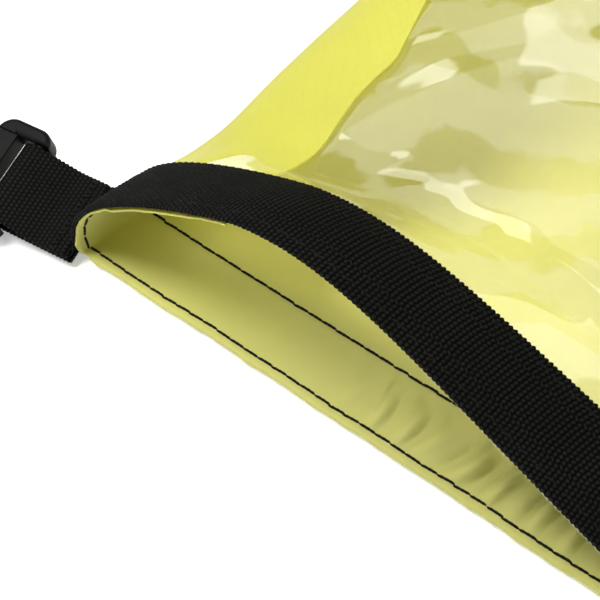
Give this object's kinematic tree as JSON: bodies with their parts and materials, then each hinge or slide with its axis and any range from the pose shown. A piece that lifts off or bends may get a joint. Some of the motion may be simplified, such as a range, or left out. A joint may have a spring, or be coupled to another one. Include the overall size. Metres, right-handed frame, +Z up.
{
  "type": "dry bag",
  "caption": "Roll-top dry bag lying open, with a clear front window, a round base, a webbing-edged mouth and a side-release buckle.",
  "frame": {"origin": "middle of the back webbing's flat underside, at the mouth, on the ground that the bag lies on", "axes": "+X along the mouth from the male buckle half to the female one, +Y from the mouth towards the round base, +Z up from the ground"},
  "size_m": [0.3483, 0.3893, 0.136],
  "materials": {
    "coated_ripstop": "satin coated ripstop weave",
    "clear_film": "glossy clear flexible film",
    "black_webbing": "coarse woven webbing",
    "sewing_thread": "twisted bonded thread",
    "buckle_plastic": "moulded satin plastic",
    "seam_tape": "heat-welded tape"
  },
  "bodies": {
    "bag": {"back_panel": "coated_ripstop", "left_side_strip": "coated_ripstop", "right_side_strip": "coated_ripstop", "clear_window": "clear_film", "base_panel": "coated_ripstop", "base_seam_tape": "seam_tape"},
    "mouth_band": {"mouth_back_panel": "coated_ripstop", "mouth_left_strip": "coated_ripstop", "mouth_right_strip": "coated_ripstop", "mouth_window": "clear_film", "front_webbing": "black_webbing", "back_webbing": "black_webbing", "back_outer_stitches": "sewing_thread", "back_inner_stitches": "sewing_thread", "front_outer_stitches": "sewing_thread", "front_inner_stitches": "sewing_thread"},
    "left_strap": {"left_strap": "black_webbing", "left_bar_tack": "sewing_thread"},
    "male_buckle": {"male_buckle": "buckle_plastic"},
    "front_arm": {"front_release_arm": "buckle_plastic"},
    "rear_arm": {"rear_release_arm": "buckle_plastic"},
    "right_strap": {"right_strap": "black_webbing", "right_bar_tack": "sewing_thread"},
    "female_buckle": {"female_buckle": "buckle_plastic"}
  },
  "joints": [
    {"name": "mouth_fold", "type": "hinge", "parent": "bag", "child": "mouth_band", "pos_m": [0.007, 0.033, 0.0384], "axis": [-1, 0, 0], "range_deg": [0, 85]},
    {"name": "left_strap_bend", "type": "hinge", "parent": "mouth_band", "child": "left_strap", "pos_m": [-0.10607, -0.00719, 0.00849], "axis": [-0.1324, 0.9418, 0.309], "range_deg": [0, 60]},
    {"name": "male_buckle_pivot", "type": "hinge", "parent": "left_strap", "child": "male_buckle", "pos_m": [-0.12971, -0.01076, 0.00925], "axis": [-0.1324, 0.9418, 0.309], "range_deg": [0, 70]},
    {"name": "front_arm_flex", "type": "hinge", "parent": "male_buckle", "child": "front_arm", "pos_m": [-0.14515, -0.02302, 0.006], "axis": [-0.043, 0.306, -0.9511], "range_deg": [0, 6.5], "stiffness_Nm_per_rad": 0.5},
    {"name": "rear_arm_flex", "type": "hinge", "parent": "male_buckle", "child": "rear_arm", "pos_m": [-0.14793, -0.00324, 0.01249], "axis": [0.043, -0.306, 0.9511], "range_deg": [0, 6.5], "stiffness_Nm_per_rad": 0.5},
    {"name": "right_strap_bend", "type": "hinge", "parent": "mouth_band", "child": "right_strap", "pos_m": [0.1046, -0.005, 0.0036], "axis": [0, -1, 0], "range_deg": [0, 60]},
    {"name": "female_buckle_pivot", "type": "hinge", "parent": "right_strap", "child": "female_buckle", "pos_m": [0.1285, -0.005, 0.0044], "axis": [0, -1, 0], "range_deg": [0, 70]}
  ],
  "couplings": [
    {"joint": "rear_arm_flex", "follows": "front_arm_flex", "ratio": 1}
  ]
}
